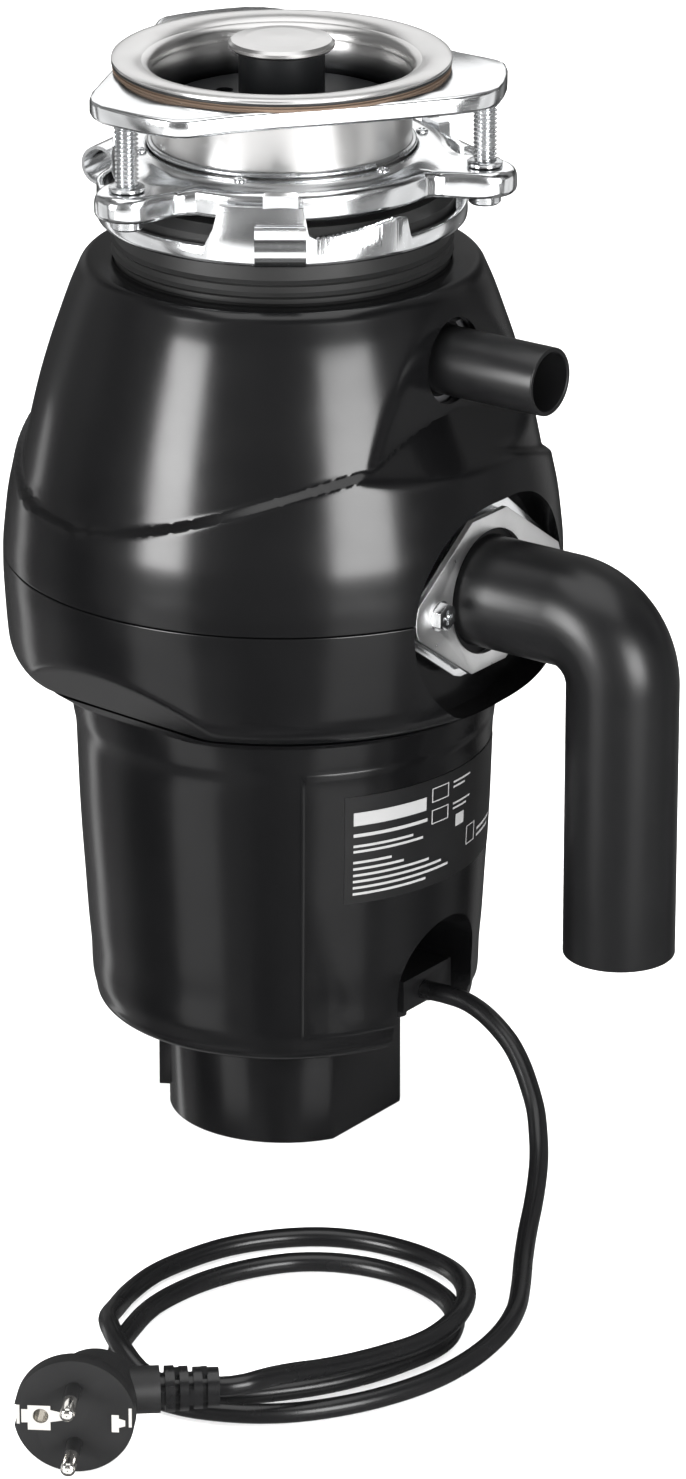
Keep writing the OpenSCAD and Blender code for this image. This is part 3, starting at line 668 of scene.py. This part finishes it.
def refined(name, node, width, angle=30.0, segments=3):
    """A copy of a CAD node with rounded edges, to stand for it."""
    bm = bmesh.new()
    bm.from_mesh(nodes[node].data)
    bmesh.ops.remove_doubles(bm, verts=bm.verts, dist=0.000002)
    bmesh.ops.dissolve_limit(bm, angle_limit=math.radians(0.6), verts=bm.verts, edges=bm.edges)
    mesh = bpy.data.meshes.new(name)
    bm.to_mesh(mesh)
    bm.free()
    obj = link(bpy.data.objects.new(name, mesh))
    step = obj.modifiers.new("round", "BEVEL")
    step.width = width * MM
    step.segments = segments
    step.limit_method = "ANGLE"
    step.angle_limit = math.radians(angle)
    step.use_clamp_overlap = True
    apply_modifiers(obj)
    return smooth(obj, 40)


def thread_rod(name, x, y, z0, z1, radius=4.0, pitch=1.5, depth=0.85, columns=36):
    """A closed rod with a real helical thread."""
    rows = int((z1 - z0) / pitch * 8)
    points, faces = [], []
    for k in range(rows + 1):
        z = z0 + (z1 - z0) * k / rows
        for i in range(columns):
            a = 2 * math.pi * i / columns
            phase = (z / pitch + a / (2 * math.pi)) % 1.0
            cut = abs(phase - 0.5) * 2
            r = radius - depth * min(max(cut * 1.5 - 0.25, 0.0), 1.0)
            points.append((x + r * math.cos(a), y + r * math.sin(a), z))
    for k in range(rows):
        for i in range(columns):
            j = (i + 1) % columns
            faces.append((k * columns + i, k * columns + j, (k + 1) * columns + j, (k + 1) * columns + i))
    faces.append(tuple(reversed(range(columns))))
    faces.append(tuple(rows * columns + i for i in range(columns)))
    return smooth(mesh_object(name, points, faces), 60)


def join(name, parts):
    """One object from several."""
    bm = bmesh.new()
    for part in parts:
        mesh = part.data.copy()
        mesh.transform(part.matrix_world)
        bm.from_mesh(mesh)
        bpy.data.meshes.remove(mesh)
        bpy.data.objects.remove(part)
    mesh = bpy.data.meshes.new(name)
    bm.to_mesh(mesh)
    bm.free()
    return link(bpy.data.objects.new(name, mesh))


def shift(obj, x, y, z=0.0):
    obj.data.transform(Matrix.Translation(Vector((x, y, z)) * MM))
    return obj


BOLT_ANGLES = (20, 140, 260)
LUG_ANGLES = (66, 186, 306)
BOLT_CIRCLE_R = 70.5


def add_bolts():
    """Three threaded bolts with a collar above the ear and a head under it."""
    collar = [(0.5, 347.5), (5.4, 347.5), (6.0, 347.9), (6.0, 348.9), (5.4, 349.4), (4.1, 349.6),
              (0.5, 349.6)]
    head = [(0.5, 334.5), (4.8, 334.5), (5.5, 335.2), (5.5, 338.4), (3.9, 338.5), (3.9, 347.6),
            (0.5, 347.6)]
    parts = []
    for angle in BOLT_ANGLES:
        a = math.radians(angle)
        x, y = BOLT_CIRCLE_R * math.cos(a), BOLT_CIRCLE_R * math.sin(a)
        parts.append(thread_rod("rod", x, y, 347.6, 370.0))
        parts.append(smooth(shift(turned("collar", collar, 48), x, y), 40))
        parts.append(smooth(shift(turned("head", head, 48), x, y), 40))
    place(join("threaded_bolts", parts), "disposer", "zinc_steel", "zinc_steel", "mounting_bolts")


def ear_reach(a):
    """How far the mounting ring reaches at that angle: its wall, or one of its three ears."""
    d = min(abs(angle_from(a, centre)) for centre in BOLT_ANGLES)
    flank = [(0.0, 81.3), (0.03, 81.1), (0.06, 80.4), (0.09, 79.1), (0.12, 76.6), (0.14, 74.0),
             (0.155, 70.5), (0.175, 65.5), (0.2, 61.5), (0.24, 58.8), (0.29, 57.3), (4.0, 57.3)]
    for (d0, r0), (d1, r1) in zip(flank, flank[1:]):
        if d <= d1:
            return r0 + (r1 - r0) * (d - d0) / (d1 - d0)
    return 57.3


def mounting_top(r):
    """Height of the mounting ring's top: level on the ears, rising to a hub round the sleeve."""
    return 347.4 + 2.6 * ease((59.0 - r) / 8.5)


def add_mounting_ring():
    """The upper mounting ring, with three ears and six small studs round its hub."""
    def outline(a):
        reach = ear_reach(a)
        round_r, drop = 3.2, 3.6
        bottom = 338.6
        shoulder = mounting_top(reach - round_r)
        points = [(45.3, bottom), (reach - 2.0, bottom), (reach - 0.9, bottom + 0.3),
                  (reach - 0.2, bottom + 1.1), (reach, bottom + 2.2)]
        for i in range(7):
            t = math.radians(15.0 * i)
            points.append((reach - round_r * (1 - math.cos(t)), shoulder - drop * (1 - math.sin(t))))
        inner = reach - round_r
        for i in range(1, 12):
            r = inner + (46.6 - inner) * i / 11
            points.append((r, mounting_top(r)))
        points += [(45.7, mounting_top(46) - 0.2), (45.3, mounting_top(46) - 0.9)]
        return points

    stud = [(0.4, 349.5), (2.1, 349.5), (2.1, 350.5), (1.7, 351.0), (1.1, 351.1), (0.9, 350.6), (0.4, 350.6)]
    stud_circle_r = 48.6
    parts = [smooth(swept_ring("ring", outline, 720), 50)]
    for angle in range(50, 410, 60):
        a = math.radians(angle)
        x, y = stud_circle_r * math.cos(a), stud_circle_r * math.sin(a)
        parts.append(smooth(shift(turned("stud", stud, 24), x, y), 40))
    place(join("mounting_ring_cast", parts), "disposer", "bright_chrome", "bright_chrome", "mounting_ring")


def lock_height(a):
    """Top of the lock ring's wall: tall at each lug, then a serrated ramp down to the low band."""
    profile = [(-24.0, 331.0), (-21.0, 337.5), (-19.0, 345.5), (7.0, 345.5), (8.5, 336.2), (11.0, 334.6),
               (22.0, 335.6), (40.0, 338.0), (42.0, 337.6), (43.5, 331.0), (98.0, 331.0)]
    d = min((math.degrees(angle_from(a, centre)) for centre in LUG_ANGLES),
            key=lambda v: abs(v - 30) if v > -30 else 999)
    height = 331.0
    for (d0, z0), (d1, z1) in zip(profile, profile[1:]):
        if d0 <= d <= d1:
            height = z0 + (z1 - z0) * (d - d0) / (d1 - d0)
    if 11.0 < d < 38.0:
        height += 0.7 * ((d / 1.5) % 1.0)
    return height


def add_lock_ring():
    """The pressed lower ring, with a rolled lug and a tab at each of its three lugs."""
    def outline(a):
        top = lock_height(a)
        return [(56.8, 325.2), (60.6, 325.0), (61.8, 325.1), (62.4, 325.7), (62.6, 326.8),
                (62.5, top - 0.5), (62.2, top - 0.1), (61.4, top), (60.5, top - 0.1),
                (60.2, top - 0.5), (60.2, 326.9), (56.8, 326.5)]

    tab_outline = [(-5.8, 344.6), (5.8, 344.6), (5.8, 348.9), (5.0, 349.4), (-5.0, 349.4), (-5.8, 348.9)]
    parts = [smooth(swept_ring("band", outline, 1080), 40)]
    for angle in LUG_ANGLES:
        turn = Matrix.Rotation(math.radians(angle), 4, "Z")
        curl = rolled_lug()
        tab = extruded_x("tab", tab_outline, 57.9, 62.2)
        for piece in (curl, tab):
            piece.data.transform(turn)
            parts.append(smooth(piece, 40))
    place(join("lock_ring_pressed", parts), "lock_ring", "bright_chrome", "bright_chrome", "lock_ring")


def rolled_lug():
    """The strip rolled into a loose curl in front of the lock ring's wall."""
    outer, inner, half = 6.9, 5.7, 8.5
    centre_x, centre_z = 67.4, 333.8
    arc = [math.radians(v) for v in range(-152, 153, 8)]
    section = [(centre_x + outer * math.cos(t), centre_z + outer * math.sin(t)) for t in arc]
    section += [(centre_x + inner * math.cos(t), centre_z + inner * math.sin(t)) for t in reversed(arc)]
    n = len(section)
    points = [(x, -half, z) for x, z in section] + [(x, half, z) for x, z in section]
    faces = [(i, (i + 1) % n, n + (i + 1) % n, n + i) for i in range(n)]
    strip = n // 2
    for i in range(strip - 1):
        faces.append((i + 1, i, n - 1 - i, n - 2 - i))
        faces.append((n + i, n + i + 1, 2 * n - 2 - i, 2 * n - 1 - i))
    obj = mesh_object("curl", points, faces)
    fix_normals(obj)
    return obj


def add_sink_flange():
    """The flange's bell mouth, its long sleeve and the bead the stopper's seal rests on."""
    sleeve = [(43.8, 331.0), (43.8, 349.9), (43.1, 350.2), (43.1, 351.8), (43.8, 352.1), (43.8, 374.0)]
    rim = [(44.4, 376.8), (45.8, 378.4), (47.6, 379.0), (57.0, 379.0), (57.15, 379.4), (57.0, 380.0),
           (56.3, 380.5), (55.0, 380.8), (53.0, 380.9), (51.0, 380.7), (49.2, 380.2), (47.4, 379.2)]
    bell = [(45.9, 377.8), (44.7, 376.0), (43.7, 373.6), (42.9, 370.4), (42.5, 366.5), (42.3, 362.0)]
    bead = [(42.3, 358.6), (41.6, 357.6), (40.8, 356.9), (40.7, 356.3), (40.8, 355.8), (41.6, 355.0),
            (42.3, 354.2), (42.3, 331.0)]
    mouth = sleeve + rim + bell + bead
    obj = smooth(turned("sink_flange_spun", mouth, 240), 40)
    place(obj, "disposer", "flange_spun", "stainless", "sink_flange")


def add_rim_gaskets():
    """The thin black rubber and the two fibre rings under the rim, with slightly soft edges."""
    def ring(name, r0, r1, z0, z1):
        e = 0.12
        outline = [(r0, z0), (r1 - e, z0), (r1, z0 + e), (r1, z1 - e), (r1 - e, z1), (r0, z1)]
        return smooth(turned(name, outline, 200), 50)

    place(ring("rubber_gasket_soft", 47.6, 57.05, 378.1, 379.0), "disposer", "black_rubber", "black_rubber",
          "rubber_gasket")
    upper = ring("upper", 46.2, 56.2, 377.35, 378.0)
    lower = ring("lower", 45.0, 56.8, 376.5, 377.25)
    fibre = join("fibre_gaskets_soft", [upper, lower])
    place(fibre, "disposer", "fibre", "fibre", "fiber_gaskets")


# ---- label and plug ----

def label_bar(a0, a1, z0, z1):
    """One plain printed bar on the label, between two angles in degrees and two heights."""
    steps = max(int((a1 - a0) / 1.5), 1)
    points, faces = [], []
    for i in range(steps + 1):
        a = math.radians(a0 + (a1 - a0) * i / steps)
        for z in (z0, z1):
            for lift in (0.78, 0.85):
                r = HOUSING(z) + lift
                points.append((r * math.cos(a), r * math.sin(a), z))
    for i in range(steps):
        k = 4 * i
        faces += [(k, k + 4, k + 6, k + 2), (k + 1, k + 3, k + 7, k + 5), (k, k + 1, k + 5, k + 4),
                  (k + 2, k + 6, k + 7, k + 3)]
    last = 4 * steps
    faces += [(0, 2, 3, 1), (last, last + 1, last + 3, last + 2)]
    return mesh_object("bar", points, faces)


def add_label_print():
    """Plain bars and boxes where the real label is printed, with no lettering."""
    bars = [(-34.5, -11.5, 129.6, 134.4), (-34.5, -11.0, 125.4, 126.6), (-34.5, -16.0, 121.6, 122.5),
            (-34.5, -12.5, 119.6, 120.5), (-34.5, -23.0, 115.6, 116.5), (-34.5, -19.0, 113.2, 114.1),
            (-34.5, -10.0, 110.8, 111.7), (-34.5, -5.0, 108.5, 109.4), (-34.5, -2.0, 106.2, 107.1),
            (-34.5, -11.0, 103.9, 104.8), (-0.5, 8.0, 135.6, 136.3), (-0.5, 5.0, 133.8, 134.5),
            (-0.5, 8.0, 127.6, 128.3), (-0.5, 6.0, 125.8, 126.5), (1.0, 5.0, 119.0, 123.4),
            (14.0, 26.0, 112.0, 113.0), (14.0, 24.0, 109.6, 110.6)]
    boxes = [(-9.4, -2.6, 131.6, 136.8), (-9.4, -2.6, 123.6, 128.8), (7.0, 12.0, 109.5, 116.5)]
    line = 0.35
    turn = 0.35
    for a0, a1, z0, z1 in boxes:
        bars += [(a0, a1, z1 - line, z1), (a0, a1, z0, z0 + line),
                 (a0, a0 + turn, z0, z1), (a1 - turn, a1, z0, z1)]
    prints = join("label_print", [label_bar(*bar) for bar in bars])
    place(prints, "disposer", "label_print", "label_dark")


PLUG_FACE = Vector((119.2, -272.9, 19.2)) * MM
PLUG_TURN = math.radians(31.5)


def set_in_plug(obj):
    """Moves a piece made round the plug's own axes, with Y behind its face, to where the plug lies."""
    obj.data.transform(Matrix.Translation(PLUG_FACE) @ Matrix.Rotation(PLUG_TURN, 4, "Z"))
    return obj


def plug_turned(name, outline, x, z, columns=48):
    """A solid turned round the plug's depth: outline of (radius, depth) points, centred at x and z."""
    obj = turned(name, outline, columns)
    tip_over = Matrix.Rotation(math.radians(-90), 4, "X")
    obj.data.transform(Matrix.Translation(Vector((x, 0, z)) * MM) @ tip_over)
    fix_normals(obj)
    return obj


def flat_piece(name, outline, y0, y1):
    """A flat (x, z) outline as thick as y0 to y1."""
    n = len(outline)
    points = [(x, y0, z) for x, z in outline] + [(x, y1, z) for x, z in outline]
    faces = [tuple(range(n)), tuple(reversed(range(n, 2 * n)))]
    faces += [(i, n + i, n + (i + 1) % n, (i + 1) % n) for i in range(n)]
    obj = mesh_object(name, points, faces)
    fix_normals(obj)
    return obj


def add_plug_metal():
    """The pins, with their black sleeves, and the two earth contacts."""
    tip = [(0.2, -9.0), (0.2, -19.0), (1.3, -19.0), (2.0, -18.6), (2.35, -17.9), (2.38, -9.0)]
    sleeve = [(0.2, 0.2), (0.2, -9.0), (2.1, -9.0), (2.4, -8.7), (2.4, 0.2)]
    tips, sleeves = [], []
    for z in (-9.5, 9.5):
        tips.append(plug_turned("tip", tip, 0, z))
        sleeves.append(plug_turned("sleeve", sleeve, 0, z))
    for obj in tips + sleeves:
        smooth(obj, 40)
    place(set_in_plug(join("pin_tips", tips)), "disposer", "nickel", "nickel", "plug_pins")
    place(set_in_plug(join("pin_sleeves", sleeves)), "disposer", "plug_black", "plug_black")
    plate = flat_piece("earth_plate", [(-16.6, -2.4), (-14.6, -2.4), (-14.6, -4.9), (-7.4, -4.9),
                                       (-7.4, -2.0), (-3.0, -1.2), (-3.0, 1.2), (-7.4, 2.2),
                                       (-7.4, 3.6), (-14.6, 3.6), (-14.6, 2.2), (-16.6, 2.2)], -0.35, 0.1)
    hole = plug_turned("hole", [(0.001, -2.0), (2.5, -2.0), (2.5, 2.0), (0.001, 2.0)], -10.5, 0)
    carve(plate, hole)
    clip = flat_piece("side_clip", [(11.9, -4.8), (14.2, -4.8), (14.2, -3.2), (16.2, -2.6), (16.2, -0.6),
                                    (14.2, 0.0), (14.2, 1.2), (11.9, 1.2)], -0.3, 0.1)
    place(set_in_plug(join("earth_plates", [plate, clip])), "disposer", "nickel", "nickel")


def add_boot_bridges():
    """Small webs that tie the boot's ribs together, turned a quarter from gap to gap."""
    parts = []
    gaps = [(0.2, 1.8), (4.4, 6.4), (8.8, 10.8), (13.2, 15.2)]
    for i, (x0, x1) in enumerate(gaps):
        for side in (-1, 1):
            if i % 2:
                outline = [(-2.6, side * 4.0), (2.6, side * 4.0), (2.6, side * 6.3), (-2.6, side * 6.3)]
            else:
                outline = [(side * 4.0, -2.6), (side * 6.5, -2.6), (side * 6.5, 2.6), (side * 4.0, 2.6)]
            piece = extruded_x("web", outline, x0, x1)
            fix_normals(piece)
            parts.append(piece)
    webs = join("boot_webs", parts)
    boot_turn = Matrix.Rotation(math.radians(9.2), 4, "Z")
    webs.data.transform(Matrix.Translation(Vector((25, 19.5, 1)) * MM) @ boot_turn)
    place(set_in_plug(webs), "disposer", "cord_black", "cord_black")


def add_metalwork():
    """Copies of plain CAD nodes with softly rounded edges: node, edge radius in mm, body, material."""
    rounded = [
        ("backup_plate", 1.3, "disposer", "bright_chrome"),
        ("outlet_flange", 0.45, "disposer", "flange_steel"),
        ("outlet_backplate", 0.35, "disposer", "bright_chrome"),
        ("outlet_screws", 0.35, "disposer", "bright_chrome"),
        ("foot_cover", 0.9, "disposer", "shell_black"),
        ("cord_clamp", 0.7, "disposer", "pipe_black"),
        ("discharge_elbow", 0.5, "elbow", "pipe_black"),
        ("inlet_tube", 0.5, "disposer", "pipe_black"),
        ("plug_body", 0.8, "disposer", "plug_black"),
    ]
    slots = {part["node"]: part["material_slot"] for part in frame["record"]["subparts"]}
    for node, width, body, material in rounded:
        obj = refined(node + "_rounded", node, width)
        place(obj, body, material, slots[node], node)


# ---- stage and light ----

def add_floor():
    """A plain pale floor, a hair under the foot."""
    mesh = bpy.data.meshes.new("floor")
    size = 30.0
    corners = [(-size, -size), (size, -size), (size, size), (-size, size)]
    mesh.from_pydata([(x, y, -0.0004) for x, y in corners], [], [(0, 1, 2, 3)])
    obj = bpy.data.objects.new("floor", mesh)
    bpy.context.scene.collection.objects.link(obj)
    mat, nt, shader = tree("floor")
    shader.inputs["Roughness"].default_value = 0.9
    shader.inputs["Specular IOR Level"].default_value = 0.1
    pale = blend_colours(nt, noise(nt, 2.0), (0.93, 0.93, 0.93), (0.96, 0.96, 0.96))
    nt.links.new(pale, shader.inputs["Base Color"])
    mesh.materials.append(mat)
    obj.visible_glossy = False
    obj.visible_shadow = False


def add_area(name, azimuth, elevation, distance, width, height, power, only=None):
    """A soft panel round the body, facing it, that lights everything or only some pieces.

    Azimuth and elevation in degrees, distance and size in metres, power per square metre."""
    data = bpy.data.lights.new(name, "AREA")
    data.shape = "RECTANGLE"
    data.size = width
    data.size_y = height
    data.energy = power * width * height
    obj = link(bpy.data.objects.new(name, data))
    a, e = math.radians(azimuth), math.radians(elevation)
    goal = Vector((0, 0, 0.25))
    away = Vector((math.cos(a) * math.cos(e), math.sin(a) * math.cos(e), math.sin(e)))
    obj.location = goal + distance * away
    obj.rotation_euler = (goal - obj.location).to_track_quat("-Z", "Y").to_euler()
    obj.visible_camera = False
    if only:
        obj.light_linking.receiver_collection = only
    return obj


def add_world():
    """A dim white surround with soft darker patches."""
    world = bpy.data.worlds.new("studio")
    bpy.context.scene.world = world
    world.use_nodes = True
    nt = world.node_tree
    background = nt.nodes["Background"]
    background.inputs["Color"].default_value = (1, 1, 1, 1)
    patches = nt.nodes.new("ShaderNodeTexNoise")
    patches.inputs["Scale"].default_value = 2.2
    patches.inputs["Detail"].default_value = 0.0
    nt.links.new(ramp(nt, patches.outputs["Fac"], 0.0, 0.32), background.inputs["Strength"])


BRIGHT_METALS = ("bright_chrome", "stainless", "flange_spun", "flange_steel", "zinc_steel", "nickel")


def metal_collection():
    """The bright metal pieces, which have soft panels of their own."""
    group = bpy.data.collections.new("bright_metal")
    wanted = [materials[name] for name in BRIGHT_METALS]
    for obj in bpy.data.objects:
        if obj.type == "MESH" and obj.data.materials and obj.data.materials[0] in wanted:
            group.objects.link(obj)
    return group


def floor_collection(name):
    """A collection that holds only the floor."""
    group = bpy.data.collections.new(name)
    group.objects.link(bpy.data.objects["floor"])
    return group


def add_lights():
    """Two soft boxes for the shell, fills, the floor's own light and the bright metal's panels."""
    bright = metal_collection()
    add_area("key_left", -103, 9, 2.0, 0.66, 0.95, 46)
    add_area("key_left_low", -104, -24, 2.0, 0.85, 0.9, 2.6)
    add_area("strip_right", -21, 9, 2.0, 0.92, 0.95, 34)
    add_area("strip_right_low", -22, -24, 2.0, 0.92, 0.9, 2.2)
    add_area("left_edge", -186, -24, 2.0, 0.3, 1.2, 4)
    add_area("top", -54, 84, 2.2, 2.4, 2.4, 5)
    fill = add_area("floor_fill", 0, 89, 8.0, 44.0, 44.0, 6, floor_collection("floor_only"))
    fill.light_linking.blocker_collection = floor_collection("floor_blocker")
    add_area("metal_front", -54, -28, 2.0, 3.6, 1.2, 4.4, bright)
    add_area("metal_back", 126, 30, 2.4, 3.2, 1.6, 3.4, bright)
    add_area("metal_left", -150, -12, 2.0, 1.5, 1.5, 2.2, bright)
    add_area("metal_right", 42, -12, 2.0, 1.5, 1.5, 2.2, bright)


# ---- build ----

add_camera()
cord = add_cord()
materials = build_materials()
dress_cad(materials)
cord.data.materials.append(materials["cord_black"])
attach(cord, "disposer")
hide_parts("power_cord")
add_upper_shroud()
add_lower_shroud()
add_lower_housing()
add_metalwork()
add_mounting_ring()
add_lock_ring()
add_sink_flange()
add_rim_gaskets()
add_bolts()
add_label_print()
add_plug_metal()
add_boot_bridges()
add_floor()
add_world()
add_lights()
bpy.context.scene.view_settings.view_transform = "Standard"
